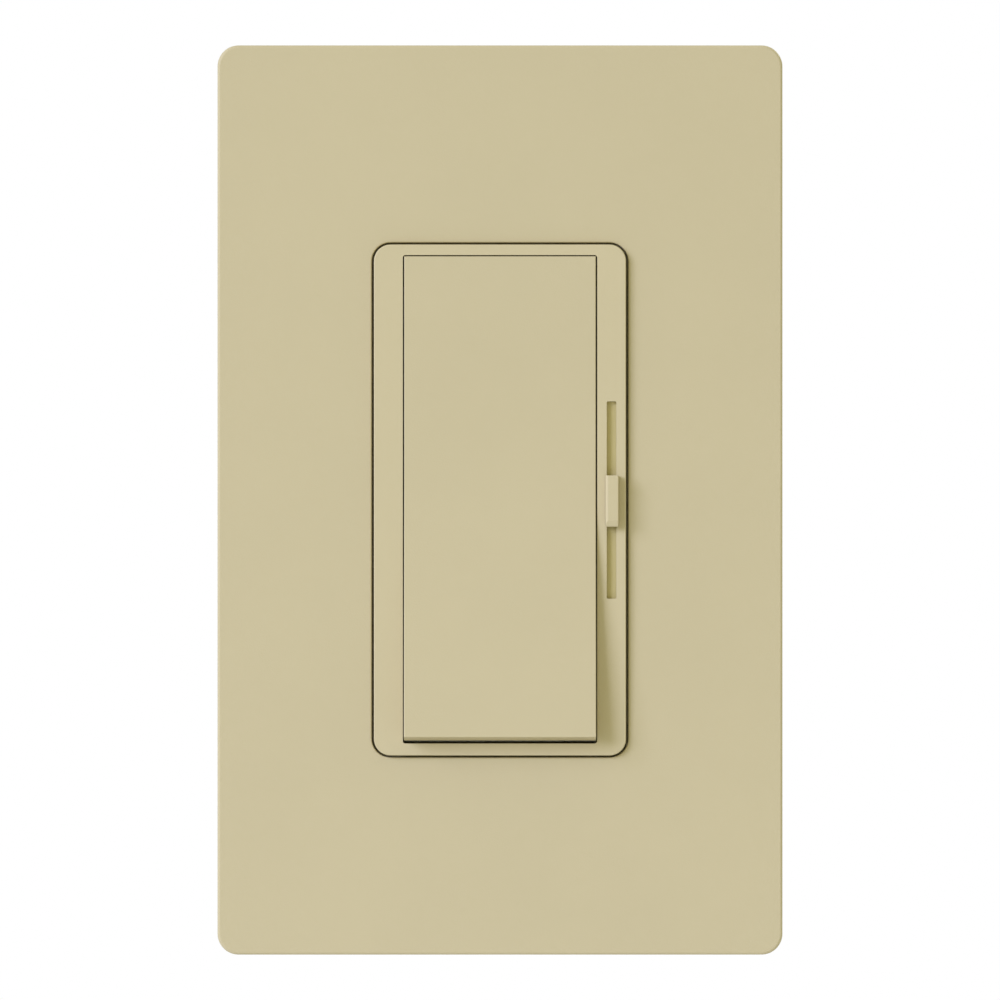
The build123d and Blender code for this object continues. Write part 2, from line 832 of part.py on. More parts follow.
with BuildPart() as insulator_sheet:
    bar(sheet_width, sheet_height, sheet_thickness + seat, seat, 0, 0, corner=0.8)
    for x in (-boss_x, boss_x):
        for z in (-boss_z, boss_z):
            rod(boss_r + 0.4, 1, -1, x, z, mode=Mode.SUBTRACT)
    rod(plunger_window_r, 1, -1, 0, plunger_z, mode=Mode.SUBTRACT)
    bar(2.6, slider_travel + lever_height + 2.0, 1, -1, slot_x, 0, mode=Mode.SUBTRACT)
    bar(pad_window_width, pad_window_height, 1, -1, triac_x, pad_z, mode=Mode.SUBTRACT)
    for side in (-1, 1):
        for end in (-1, 1):
            bar(3.4, leg_height + 0.6, 1, -1, side * (leg_x + 0.3), end * leg_z, mode=Mode.SUBTRACT)
        bar(rest_leg_width + 0.8, 4.0, 1, -1, side * rest_leg_x, rest_leg_low + 0.2, mode=Mode.SUBTRACT)
insulator_sheet.part.label = "insulator_sheet"
export_step(insulator_sheet.part, "parts/insulator_sheet.step")

# ---------------------------------------------------------------- circuit_board
board_width = 40.4
board_height = 61.6
frame_half_width = 9.0
frame_low = -30.2
frame_high = -10.0
frame_middle = (frame_low + frame_high) / 2
triac_lead_z = 5.7
triac_lead_pitch = 2.54
film_x = 11.2
film_z = 21.5
film_lead_x = 6.25
timing_x = 5.5
timing_z = 9.8
timing_lead_x = 2.5
diac_x = 5.5
diac_z = 4.2
axial_lead_x = 5.0
resistor_places = (0.0, -3.4, -6.8)
varistor_x = -14.4
varistor_z = -14.0
varistor_lead_z = 3.0
choke_x = -9.0
choke_z = 17.3
choke_lead_x = 5.0
choke_lead_z = 4.0
eyelet_places = ((-13.5, -21.5), (13.5, -21.5), (13.5, -26.5))
board_leads = [(triac_x + n * triac_lead_pitch, triac_lead_z) for n in (-1, 0, 1)]
board_leads += [(film_x + n * film_lead_x, film_z) for n in (-1, 1)]
board_leads += [(timing_x + n * timing_lead_x, timing_z) for n in (-1, 1)]
board_leads += [(diac_x + n * (axial_lead_x - 1.0), diac_z) for n in (-1, 1)]
board_leads += [(n * axial_lead_x, z) for z in resistor_places for n in (-1, 1)]
board_leads += [(varistor_x, varistor_z + n * varistor_lead_z) for n in (-1, 1)]
board_leads += [(choke_x + n * choke_lead_x, choke_z - choke_lead_z) for n in (-1, 1)]

with BuildPart() as circuit_board:
    bar(board_width, board_height, board_back, board_front, 0, 0, corner=0.6)
    for x in (-boss_x, boss_x):
        for z in (-boss_z, boss_z):
            rod(boss_r + 0.5, board_back, board_front, x, z, mode=Mode.SUBTRACT)
            edge_x = x / boss_x * board_width / 2
            edge_z = z / boss_z * board_height / 2
            bar(4.0, 4.0, board_back, board_front, edge_x, edge_z, mode=Mode.SUBTRACT)
    # cut-out for the switch
    bar(
        2 * frame_half_width + 0.4,
        frame_high - frame_low + 0.4,
        board_back,
        board_front,
        0,
        frame_middle,
        mode=Mode.SUBTRACT,
    )
    for x, z in board_leads:
        rod(0.65, board_back, board_front, x, z, mode=Mode.SUBTRACT)
    for x, z in eyelet_places:
        rod(1.05, board_back, board_front, x, z, mode=Mode.SUBTRACT)
circuit_board.part.label = "circuit_board"
export_step(circuit_board.part, "parts/circuit_board.step")

# ---------------------------------------------------------------- slide potentiometer
pot_width = 7.4
pot_length = 35.0
pot_front = 0.6
pot_sheet = 0.6
track_thickness = 0.8
carrier_width = 5.4
carrier_length = 7.0

with BuildPart() as pot_body:
    bar(pot_width, pot_length, board_front - 0.05, pot_front, slot_x, 0)
    bar(
        pot_width - 2 * pot_sheet,
        pot_length - 2 * pot_sheet,
        board_front,
        pot_front + pot_sheet,
        slot_x,
        0,
        mode=Mode.SUBTRACT,
    )
    lever_slot = slider_travel + lever_height + 1.6
    bar(2.0, lever_slot, pot_front + pot_sheet, pot_front, slot_x, 0, mode=Mode.SUBTRACT)
pot_body.part.label = "pot_body"
export_step(pot_body.part, "parts/pot_body.step")

track_front = board_front - 0.1 - track_thickness

with BuildPart() as pot_track:
    bar(
        pot_width - 2 * pot_sheet - 0.1,
        pot_length - 2 * pot_sheet - 0.1,
        track_front + track_thickness,
        track_front,
        slot_x,
        0,
    )
pot_track.part.label = "pot_track"
export_step(pot_track.part, "parts/pot_track.step")

carrier_front = pot_front + pot_sheet + 0.15
carrier_back = carrier_front + 2.6

with BuildPart() as pot_carrier:
    bar(carrier_width, carrier_length, carrier_back, carrier_front, slot_x, 0, corner=0.5)
    bar(lever_width, lever_height, carrier_back, lever_tip, slot_x, 0)
pot_carrier.part.label = "pot_carrier"
export_step(pot_carrier.part, "parts/pot_carrier.step")

with BuildPart() as pot_wiper:
    bar(4.0, 5.6, carrier_back + 0.25, carrier_back + seat, slot_x, 0)
    for x in (slot_x - 1.2, slot_x + 1.2):
        finger = [
            (carrier_back + seat, -2.6),
            (track_front - 0.3, 1.6),
            (track_front - 0.05, 2.2),
            (track_front - 0.3, 2.8),
            (track_front - 0.5, 2.8),
            (track_front - 0.3, 2.2),
            (track_front - 0.55, 1.6),
            (carrier_back + seat, -2.0),
        ]
        side_shape(finger, x - 0.4, x + 0.4)
pot_wiper.part.label = "pot_wiper"
export_step(pot_wiper.part, "parts/pot_wiper.step")

# ---------------------------------------------------------------- switch_frame
frame_front = 0.45
frame_back = 18.6
frame_wall = 1.2
guide_r = 3.2
guide_end = 4.6
plunger_stem_r = 2.2
rocker_pin_r = 0.8
tail_width = 1.6
tail_end = 20.6
fixed_tail_z = -28.2
common_x = 6.9
common_height = 3.6

with BuildPart() as switch_frame:
    bar(2 * frame_half_width, frame_high - frame_low, frame_back, frame_front, 0, frame_middle)
    bar(
        2 * (frame_half_width - frame_wall),
        frame_high - frame_low - 2 * frame_wall,
        frame_back - frame_wall,
        frame_front + frame_wall,
        0,
        frame_middle,
        mode=Mode.SUBTRACT,
    )
    rod(guide_r, guide_end, frame_front, 0, plunger_z)
    rod(plunger_stem_r + clear, guide_end, frame_front, 0, plunger_z, mode=Mode.SUBTRACT)
    axle(
        rocker_pin_r,
        -frame_half_width,
        frame_half_width,
        rocker_y,
        plunger_z,
        mode=Mode.SUBTRACT,
    )
    # slots in the back for the terminals' tails
    back_slot = frame_back - frame_wall - 0.5
    bar(tail_width + 0.1, 0.7, frame_back, back_slot, 0, fixed_tail_z, mode=Mode.SUBTRACT)
    bar(0.7, common_height + 0.1, frame_back, back_slot, common_x, plunger_z, mode=Mode.SUBTRACT)
switch_frame.part.label = "switch_frame"
export_step(switch_frame.part, "parts/switch_frame.step")

# ---------------------------------------------------------------- plunger
plunger_head_back = -5.4
plunger_head_front = -6.2
plunger_tip = -6.9
plunger_stem_end = 5.4
tongue_end = 8.2

with BuildPart() as plunger:
    outline = [
        (0, plunger_tip),
        (1.2, plunger_tip + 0.15),
        (2.2, plunger_head_front),
        (4.2, plunger_head_front),
        (4.2, plunger_head_back),
        (plunger_stem_r, plunger_head_back),
        (plunger_stem_r, plunger_stem_end),
        (0, plunger_stem_end),
    ]
    turn(outline, 0, plunger_z)
    bar(3.4, 0.9, tongue_end, plunger_stem_end - 0.5, 0, plunger_z)
plunger.part.label = "plunger"
export_step(plunger.part, "parts/plunger.step")

# ---------------------------------------------------------------- plunger_spring
spring_mean_r = 3.5
spring_wire_r = 0.25
spring_turns = 5
spring_front = plunger_head_back + spring_wire_r + 0.03
spring_back = frame_front - spring_wire_r - 0.03
spring_pitch = (spring_back - spring_front) / spring_turns

with BuildPart() as plunger_spring:
    with BuildLine() as coil:
        Helix(
            pitch=spring_pitch,
            height=spring_back - spring_front,
            radius=spring_mean_r,
            center=(0, spring_front, plunger_z),
            direction=(0, 1, 0),
        )
    with BuildSketch(Plane(origin=coil.line @ 0, z_dir=coil.line % 0)):
        Circle(spring_wire_r)
    sweep(path=coil.line, is_frenet=True)
plunger_spring.part.label = "plunger_spring"
export_step(plunger_spring.part, "parts/plunger_spring.step")

# ---------------------------------------------------------------- contact_rocker
rocker_half_width = 3.2
rocker_half_height = 5.0
rocker_half_depth = 1.6
rocker_axis = Axis((0, rocker_y, plunger_z), (1, 0, 0))

with BuildPart() as contact_rocker:
    see_saw = [
        (rocker_y - rocker_half_depth, plunger_z - rocker_half_height),
        (rocker_y - rocker_half_depth, plunger_z - 3.4),
        (rocker_y - rocker_half_depth + 0.8, plunger_z - 0.6),
        (rocker_y - rocker_half_depth + 0.8, plunger_z + 0.6),
        (rocker_y - rocker_half_depth, plunger_z + 3.4),
        (rocker_y - rocker_half_depth, plunger_z + rocker_half_height),
        (rocker_y + rocker_half_depth, plunger_z + rocker_half_height),
        (rocker_y + rocker_half_depth, plunger_z - rocker_half_height),
    ]
    side_shape(see_saw, -rocker_half_width, rocker_half_width)
    axle(rocker_pin_r + clear, -rocker_half_width, rocker_half_width, rocker_y, plunger_z, mode=Mode.SUBTRACT)
contact_rocker.part = contact_rocker.part.rotate(rocker_axis, rocker_rest_angle)
contact_rocker.part.label = "contact_rocker"
export_step(contact_rocker.part, "parts/contact_rocker.step")

# ---------------------------------------------------------------- rocker_pin
with BuildPart() as rocker_pin:
    pin_half_length = frame_half_width - 0.1
    axle(rocker_pin_r - 0.01, -pin_half_length, pin_half_length, rocker_y, plunger_z)
rocker_pin.part.label = "rocker_pin"
export_step(rocker_pin.part, "parts/rocker_pin.step")

# ---------------------------------------------------------------- contact_blade
blade_front = rocker_y + rocker_half_depth + seat
blade_thickness = 0.4
contact_r = 1.4
contact_z = plunger_z - 7.3
contact_height = 0.75

with BuildPart() as contact_blade:
    bar(4.0, 11.3, blade_front + blade_thickness, blade_front, 0, plunger_z - 2.65, corner=0.4)
    button = [
        (0, blade_front + 0.1),
        (contact_r, blade_front + 0.1),
        (contact_r, blade_front + blade_thickness + 0.35),
        (contact_r - 0.5, blade_front + blade_thickness + 0.65),
        (0, blade_front + blade_thickness + contact_height),
    ]
    turn(button, 0, contact_z)
contact_blade.part = contact_blade.part.rotate(rocker_axis, rocker_rest_angle)
contact_blade.part.label = "contact_blade"
export_step(contact_blade.part, "parts/contact_blade.step")

# ---------------------------------------------------------------- fixed_contact
fixed_z = -26.85
fixed_tip = 15.95
fixed_plate = 16.7
fixed_thickness = 0.6

with BuildPart() as fixed_contact:
    bar(5.0, 4.6, fixed_plate + fixed_thickness, fixed_plate, 0, fixed_z + 0.4)
    button = [
        (0, fixed_tip),
        (contact_r - 0.5, fixed_tip + 0.1),
        (contact_r, fixed_tip + 0.4),
        (contact_r, fixed_plate + 0.1),
        (0, fixed_plate + 0.1),
    ]
    turn(button, 0, fixed_z)
    bar(tail_width, 0.6, tail_end, fixed_plate, 0, fixed_tail_z)
fixed_contact.part.label = "fixed_contact"
export_step(fixed_contact.part, "parts/fixed_contact.step")

# ---------------------------------------------------------------- common_terminal
with BuildPart() as common_terminal:
    bar(0.6, common_height, tail_end, rocker_y - 2.0, common_x, plunger_z)
    axle(rocker_pin_r + 0.01, common_x - 1, common_x + 1, rocker_y, plunger_z, mode=Mode.SUBTRACT)
common_terminal.part.label = "common_terminal"
export_step(common_terminal.part, "parts/common_terminal.step")

# ---------------------------------------------------------------- triac
pad_thickness = 0.25
tab_front = pad_thickness + 2 * seat
triac_tab_thickness = 1.3
triac_width = 10.2
triac_back = 4.6
triac_low = 8.2
triac_body_height = 9.0
triac_height = 15.4

with BuildPart() as triac_pad:
    bar(12.6, 18.0, pad_thickness + seat, seat, triac_x, pad_z)
    rod(rivet_r + clear, 1, -1, triac_x, triac_rivet_z, mode=Mode.SUBTRACT)
triac_pad.part.label = "triac_pad"
export_step(triac_pad.part, "parts/triac_pad.step")

with BuildPart() as triac_tab:
    tab_middle = triac_low + triac_height / 2
    bar(triac_width, triac_height, tab_front + triac_tab_thickness, tab_front, triac_x, tab_middle)
    chamfer(triac_tab.edges().filter_by(Axis.Y).group_by(Axis.Z)[-1], 0.8)
    rod(rivet_r + clear, 3, -1, triac_x, triac_rivet_z, mode=Mode.SUBTRACT)
triac_tab.part.label = "triac_tab"
export_step(triac_tab.part, "parts/triac_tab.step")

with BuildPart() as triac_body:
    body_front = tab_front + triac_tab_thickness + seat
    body_middle = triac_low + triac_body_height / 2
    bar(triac_width - 0.3, triac_body_height, triac_back, body_front, triac_x, body_middle)
    chamfer(triac_body.faces().sort_by(Axis.Y)[-1].edges(), 0.35)
triac_body.part.label = "triac_body"
export_step(triac_body.part, "parts/triac_body.step")

with BuildPart() as triac_leads:
    leg_front = 2.7
    leg_back = leg_front + 0.5
    for n in (-1, 0, 1):
        x = triac_x + n * triac_lead_pitch
        leg = [
            (leg_front, triac_low - seat),
            (leg_front, triac_lead_z - 0.25),
            (board_back + 0.8, triac_lead_z - 0.25),
            (board_back + 0.8, triac_lead_z + 0.25),
            (leg_back, triac_lead_z + 0.25),
            (leg_back, triac_low - seat),
        ]
        side_shape(leg, x - 0.4, x + 0.4)
triac_leads.part.label = "triac_leads"
export_step(triac_leads.part, "parts/triac_leads.step")

with BuildPart() as triac_rivet:
    rivet_back = tab_front + triac_tab_thickness + seat
    outline = [
        (0, yoke_front - 0.9),
        (1.9, yoke_front - 0.9),
        (2.9, yoke_front - 0.3),
        (2.9, yoke_front - seat),
        (rivet_r, yoke_front - seat),
        (rivet_r, rivet_back),
        (2.7, rivet_back),
        (2.5, rivet_back + 0.6),
        (0, rivet_back + 0.6),
    ]
    turn(outline, triac_x, triac_rivet_z)
triac_rivet.part.label = "triac_rivet"
export_step(triac_rivet.part, "parts/triac_rivet.step")

# ---------------------------------------------------------------- choke
core_outer_r = 9.6
core_inner_r = 5.4
core_height = 7.0
choke_middle = 14.2
wire_r = 0.42
choke_turns = 18

with BuildPart() as choke_core:
    core_back = choke_middle + core_height / 2
    with BuildSketch(facing(core_back)):
        with Locations((choke_x, choke_z)):
            Circle(core_outer_r)
            Circle(core_inner_r, mode=Mode.SUBTRACT)
    extrude(amount=core_height)
    fillet(choke_core.edges(), 0.8)
choke_core.part.label = "choke_core"
export_step(choke_core.part, "parts/choke_core.step")

loop_width = core_outer_r - core_inner_r + 2 * wire_r + 0.1
loop_height = core_height + 2 * wire_r + 0.1
loop_middle = (core_outer_r + core_inner_r) / 2

with BuildPart() as choke_winding:
    for n in range(choke_turns):
        angle = radians(30 + n * 300 / (choke_turns - 1)) - pi / 2
        out = Vector(cos(angle), 0, sin(angle))
        centre = Vector(choke_x, choke_middle, choke_z) + out * loop_middle
        loop_plane = Plane(origin=centre, x_dir=out, z_dir=out.cross(Vector(0, 1, 0)))
        with BuildLine(loop_plane) as loop:
            FilletPolyline(
                (loop_width / 2, -loop_height / 2),
                (loop_width / 2, loop_height / 2),
                (-loop_width / 2, loop_height / 2),
                (-loop_width / 2, -loop_height / 2),
                radius=1.2,
                close=True,
            )
        with BuildSketch(Plane(origin=loop.line @ 0, z_dir=loop.line % 0)) as wire:
            Circle(wire_r)
        sweep(wire.sketch, path=loop.line)
choke_winding.part.label = "choke_winding"
export_step(choke_winding.part, "parts/choke_winding.step")

# ---------------------------------------------------------------- film_capacitor
component_front = board_back + 0.1
film_back = 20.6

with BuildPart() as film_capacitor:
    bar(15.5, 7.5, film_back, component_front + 0.4, film_x, film_z)
    fillet(film_capacitor.faces().sort_by(Axis.Y)[-1].edges(), 0.6)
    fillet(film_capacitor.edges().filter_by(Axis.Y), 0.5)
    for x in (film_x - 7.2, film_x + 7.2):
        bar(1.0, 6.0, component_front + 0.5, component_front, x, film_z)
film_capacitor.part.label = "film_capacitor"
export_step(film_capacitor.part, "parts/film_capacitor.step")

# ---------------------------------------------------------------- timing_capacitor
with BuildPart() as timing_capacitor:
    bar(7.2, 3.6, component_front + 8.0, component_front, timing_x, timing_z, corner=1.2)
    fillet(timing_capacitor.faces().sort_by(Axis.Y)[-1].edges(), 1.0)
timing_capacitor.part.label = "timing_capacitor"
export_step(timing_capacitor.part, "parts/timing_capacitor.step")

# ---------------------------------------------------------------- diac
axial_y = 10.3

with BuildPart() as diac:
    axle(0.95, diac_x - 2.1, diac_x + 2.1, axial_y, diac_z)
    fillet(diac.edges(), 0.3)
diac.part.label = "diac"
export_step(diac.part, "parts/diac.step")

# ---------------------------------------------------------------- resistors
resistor_half_length = 3.3

with BuildPart() as resistors:
    for z in resistor_places:
        axle(1.0, -resistor_half_length, resistor_half_length, axial_y, z)
        for x in (-resistor_half_length, resistor_half_length - 1.6):
            axle(1.25, x, x + 1.6, axial_y, z)
resistors.part.label = "resistors"
export_step(resistors.part, "parts/resistors.step")

# ---------------------------------------------------------------- varistor
with BuildPart() as varistor:
    axle(4.4, varistor_x - 1.6, varistor_x + 1.6, component_front + 5.0, varistor_z)
    fillet(varistor.edges(), 1.0)
varistor.part.label = "varistor"
export_step(varistor.part, "parts/varistor.step")

# ---------------------------------------------------------------- component_leads
lead_r = 0.3
solder_end = 6.6


def axial_leads(x_middle, body_half, lead_x, z):
    """Two bent wires from the ends of an axial component down through the board."""
    for side in (-1, 1):
        bend = [
            (x_middle + side * (body_half + seat), axial_y - lead_r),
            (x_middle + side * (body_half + seat), axial_y + lead_r),
            (x_middle + side * (lead_x + lead_r), axial_y + lead_r),
            (x_middle + side * (lead_x + lead_r), solder_end),
            (x_middle + side * (lead_x - lead_r), solder_end),
            (x_middle + side * (lead_x - lead_r), axial_y - lead_r),
        ]
        top_shape(bend, z - lead_r, z + lead_r)


with BuildPart() as component_leads:
    axial_leads(diac_x, 2.1, axial_lead_x - 1.0, diac_z)
    for z in resistor_places:
        axial_leads(0, resistor_half_length, axial_lead_x, z)
    for n in (-1, 1):
        rod(lead_r, component_front + 0.36, solder_end, film_x + n * film_lead_x, film_z)
        rod(lead_r, component_front - seat, solder_end, timing_x + n * timing_lead_x, timing_z)
        rod(lead_r, component_front + 1.6, solder_end, varistor_x, varistor_z + n * varistor_lead_z)
        choke_lead = (choke_x + n * choke_lead_x, choke_z - choke_lead_z)
        rod(wire_r, choke_middle - core_height / 2 - 1.0, solder_end, *choke_lead)
component_leads.part.label = "component_leads"
export_step(component_leads.part, "parts/component_leads.step")

# ---------------------------------------------------------------- lead_eyelets
with BuildPart() as lead_eyelets:
    for x, z in eyelet_places:
        outline = [
            (0.7, board_front - 0.3),
            (1.5, board_front - 0.3),
            (1.5, board_front - seat),
            (1.0, board_front - seat),
            (1.0, board_back + seat),
            (1.4, board_back + seat),
            (1.4, board_back + 0.3),
            (0.7, board_back + 0.3),
        ]
        turn(outline, x, z)
lead_eyelets.part.label = "lead_eyelets"
export_step(lead_eyelets.part, "parts/lead_eyelets.step")
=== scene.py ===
import json
import math

import bmesh
import bpy
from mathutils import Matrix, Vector


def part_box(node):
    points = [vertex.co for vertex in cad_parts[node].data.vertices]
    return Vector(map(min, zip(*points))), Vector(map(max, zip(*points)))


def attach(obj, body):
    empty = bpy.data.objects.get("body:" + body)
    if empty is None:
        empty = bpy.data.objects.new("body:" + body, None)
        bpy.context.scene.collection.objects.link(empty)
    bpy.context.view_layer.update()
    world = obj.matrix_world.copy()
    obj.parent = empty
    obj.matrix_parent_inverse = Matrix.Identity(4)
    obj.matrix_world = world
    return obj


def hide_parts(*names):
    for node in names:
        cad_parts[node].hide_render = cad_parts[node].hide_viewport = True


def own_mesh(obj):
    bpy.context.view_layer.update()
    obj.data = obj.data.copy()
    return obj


# A paddle dimmer with a slide control in its wall plate. Metres, in the CAD's frame: X to the
# right, Y into the wall, Z up.

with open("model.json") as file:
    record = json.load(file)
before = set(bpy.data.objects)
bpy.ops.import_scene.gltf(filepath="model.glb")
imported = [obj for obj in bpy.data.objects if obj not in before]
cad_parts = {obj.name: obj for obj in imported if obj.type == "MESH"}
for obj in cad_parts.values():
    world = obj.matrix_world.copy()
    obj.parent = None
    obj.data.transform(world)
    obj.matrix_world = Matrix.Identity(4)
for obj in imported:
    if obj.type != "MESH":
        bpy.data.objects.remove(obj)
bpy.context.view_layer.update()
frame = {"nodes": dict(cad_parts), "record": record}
nodes = frame["nodes"]

MM = 0.001


# ---------------------------------------------------------------- finishes
def start_material(name, roughness, metallic, specular):
    """A material with one Principled shader whose constant values are on its own sockets."""
    made = bpy.data.materials.new(name)
    made.use_nodes = True
    shader = made.node_tree.nodes["Principled BSDF"]
    shader.inputs["Roughness"].default_value = roughness
    shader.inputs["Metallic"].default_value = metallic
    shader.inputs["Specular IOR Level"].default_value = specular
    return made, shader


def surface_noise(tree, size, stretch=(1, 1, 1), detail=3.0, offset=0.0):
    """Noise in the object's own metres; size is the width of its features."""
    place = tree.nodes.new("ShaderNodeTexCoord")
    spread = tree.nodes.new("ShaderNodeMapping")
    spread.inputs["Scale"].default_value = stretch
    spread.inputs["Location"].default_value = (offset, offset, offset)
    texture = tree.nodes.new("ShaderNodeTexNoise")
    texture.inputs["Scale"].default_value = 1 / size
    texture.inputs["Detail"].default_value = detail
    tree.links.new(place.outputs["Object"], spread.inputs["Vector"])
    tree.links.new(spread.outputs["Vector"], texture.inputs["Vector"])
    return texture.outputs["Fac"]


def surface_cells(tree, size):
    """Distance to the nearest of many small random cells, for a tooled texture."""
    place = tree.nodes.new("ShaderNodeTexCoord")
    texture = tree.nodes.new("ShaderNodeTexVoronoi")
    texture.inputs["Scale"].default_value = 1 / size
    tree.links.new(place.outputs["Object"], texture.inputs["Vector"])
    return texture.outputs["Distance"]


def shift(colour, share):
    """The colour made lighter or darker by a share."""
    return tuple(min(1.0, c * (1 + share)) for c in colour) + (1.0,)


def tone(tree, shader, source, stops):
    """Colours the surface by a noise value, through (position, colour) stops."""
    ramp = tree.nodes.new("ShaderNodeValToRGB")
    first, last = ramp.color_ramp.elements
    first.position, first.color = stops[0]
    last.position, last.color = stops[-1]
    for position, colour in stops[1:-1]:
        ramp.color_ramp.elements.new(position).color = colour
    tree.links.new(source, ramp.inputs["Fac"])
    tree.links.new(ramp.outputs["Color"], shader.inputs["Base Color"])


NOISE_LOW = 0.3
NOISE_HIGH = 0.7


def vary_roughness(tree, shader, source, roughness, smoother, rougher):
    """Roughness that goes down by smoother and up by rougher, by a noise value's usual range."""
    span = tree.nodes.new("ShaderNodeMapRange")
    span.inputs["From Min"].default_value = NOISE_LOW
    span.inputs["From Max"].default_value = NOISE_HIGH
    span.inputs["To Min"].default_value = roughness - smoother
    span.inputs["To Max"].default_value = roughness + rougher
    tree.links.new(source, span.inputs["Value"])
    tree.links.new(span.outputs["Result"], shader.inputs["Roughness"])


def relief(tree, shader, source, depth):
    """Bumps of that depth in metres, by a noise value, over any bumps already there."""
    bump = tree.nodes.new("ShaderNodeBump")
    bump.inputs["Distance"].default_value = depth
    bump.inputs["Strength"].default_value = 1.0
    tree.links.new(source, bump.inputs["Height"])
    before = shader.inputs["Normal"].links
    if before:
        tree.links.new(before[0].from_socket, bump.inputs["Normal"])
    tree.links.new(bump.outputs["Normal"], shader.inputs["Normal"])


def moulded(name, colour, roughness, grain, depth, mottle=0.02, specular=0.5):
    """Moulded plastic: faint flow mottling, a fine tooled texture and slightly uneven gloss."""
    made, shader = start_material(name, roughness, metallic=0.0, specular=specular)
    tree = made.node_tree
    clouds = surface_noise(tree, size=14 * MM, detail=2.0)
    stops = [(NOISE_LOW, shift(colour, -mottle)), (NOISE_HIGH, shift(colour, mottle))]
    tone(tree, shader, clouds, stops)
    gloss = surface_noise(tree, size=2.5 * MM, detail=4.0, offset=3.0)
    vary_roughness(tree, shader, gloss, roughness, smoother=0.015, rougher=0.02)
    relief(tree, shader, surface_cells(tree, grain), depth)
    coarser = surface_noise(tree, size=1.6 * grain, detail=4.0, offset=7.0)
    relief(tree, shader, coarser, depth)
    return made


def glass_filled(name, colour, roughness):
    """Black fibre-filled plastic: pale fibre flecks in a rough matt skin with faint flow lines."""
    made, shader = start_material(name, roughness, metallic=0.0, specular=0.45)
    tree = made.node_tree
    flecks = surface_noise(tree, size=0.35 * MM, stretch=(1, 1, 0.35), detail=6.0)
    stops = [(0.35, shift(colour, -0.25)), (0.6, shift(colour, 0.1)), (0.78, shift(colour, 1.2))]
    tone(tree, shader, flecks, stops)
    flow = surface_noise(tree, size=6 * MM, stretch=(1, 1, 0.25), detail=3.0, offset=2.0)
    vary_roughness(tree, shader, flow, roughness, smoother=0.1, rougher=0.08)
    relief(tree, shader, surface_cells(tree, size=0.3 * MM), depth=0.012 * MM)
    relief(tree, shader, flecks, depth=0.02 * MM)
    return made


def metal(name, colour, roughness, grain, stretch, tint=None):
    """Bare or plated metal: lines of the rolling or drawing, tarnish clouds and small scratches."""
    made, shader = start_material(name, roughness, metallic=1.0, specular=0.5)
    tree = made.node_tree
    clouds = surface_noise(tree, size=5 * MM, detail=4.0)
    tarnish = tint or tuple(shift(colour, -0.12)[:3])
    stops = [(0.3, shift(tarnish, -0.03)), (0.55, shift(colour, 0.0)), (0.75, shift(colour, 0.08))]
    tone(tree, shader, clouds, stops)
    lines = surface_noise(tree, grain, stretch=stretch, detail=5.0, offset=1.0)
    vary_roughness(tree, shader, lines, roughness, smoother=0.08, rougher=0.12)
    relief(tree, shader, lines, depth=0.004 * MM)
    return made


WAVE_LENGTH = 0.05


def woven(name, colour, thread, roughness, specular=0.5):
    """Laminate or fibre sheet: a fine square weave under the lacquer."""
    made, shader = start_material(name, roughness, metallic=0.0, specular=specular)
    tree = made.node_tree
    place = tree.nodes.new("ShaderNodeTexCoord")
    waves = []
    for direction in ("X", "Z"):
        wave = tree.nodes.new("ShaderNodeTexWave")
        wave.bands_direction = direction
        wave.inputs["Scale"].default_value = WAVE_LENGTH / thread
        wave.inputs["Distortion"].default_value = 0.6
        tree.links.new(place.outputs["Object"], wave.inputs["Vector"])
        waves.append(wave.outputs["Fac"])
    weave = tree.nodes.new("ShaderNodeMath")
    weave.operation = "MULTIPLY"
    tree.links.new(waves[0], weave.inputs[0])
    tree.links.new(waves[1], weave.inputs[1])
    tone(tree, shader, weave.outputs[0], [(0.1, shift(colour, -0.12)), (0.8, shift(colour, 0.12))])
    relief(tree, shader, weave.outputs[0], depth=0.01 * MM)
    return made


def coated(name, colour, roughness, lump=1.2 * MM, specular=0.5):
    """Dipped, lacquered or cast coating: soft lumps, darker thin places and an uneven gloss."""
    made, shader = start_material(name, roughness, metallic=0.0, specular=specular)
    tree = made.node_tree
    lumps = surface_noise(tree, lump, detail=2.0)
    tone(tree, shader, lumps, [(0.3, shift(colour, -0.15)), (0.7, shift(colour, 0.1))])
    gloss = surface_noise(tree, size=3 * lump, detail=3.0, offset=5.0)
    vary_roughness(tree, shader, gloss, roughness, smoother=0.06, rougher=0.1)
    relief(tree, shader, lumps, depth=0.05 * lump)
    return made


IVORY = (0.575, 0.508, 0.312)
DEVICE_IVORY = (0.592, 0.522, 0.32)
# The shutter's ivory has less blue than the other ivories: painted warm shade, standing in for the
# shade deep in the slot where the shutter is seen.
SHUTTER_IVORY_PAINTED_SHADE = (0.588, 0.516, 0.25)
ADAPTER_IVORY = (0.54, 0.475, 0.30)
# how the lines in a metal are stretched along X, Y and Z
ROLLED = (1, 1, 0.04)
DRAWN = (1, 0.06, 1)
EVEN = (1, 1, 1)


def ivory(name, colour, roughness):
    """The smooth, even plastic of the pieces that show from the front."""
    return moulded(
        name, colour, roughness, grain=0.22 * MM, depth=0.005 * MM, mottle=0.01, specular=0.18
    )


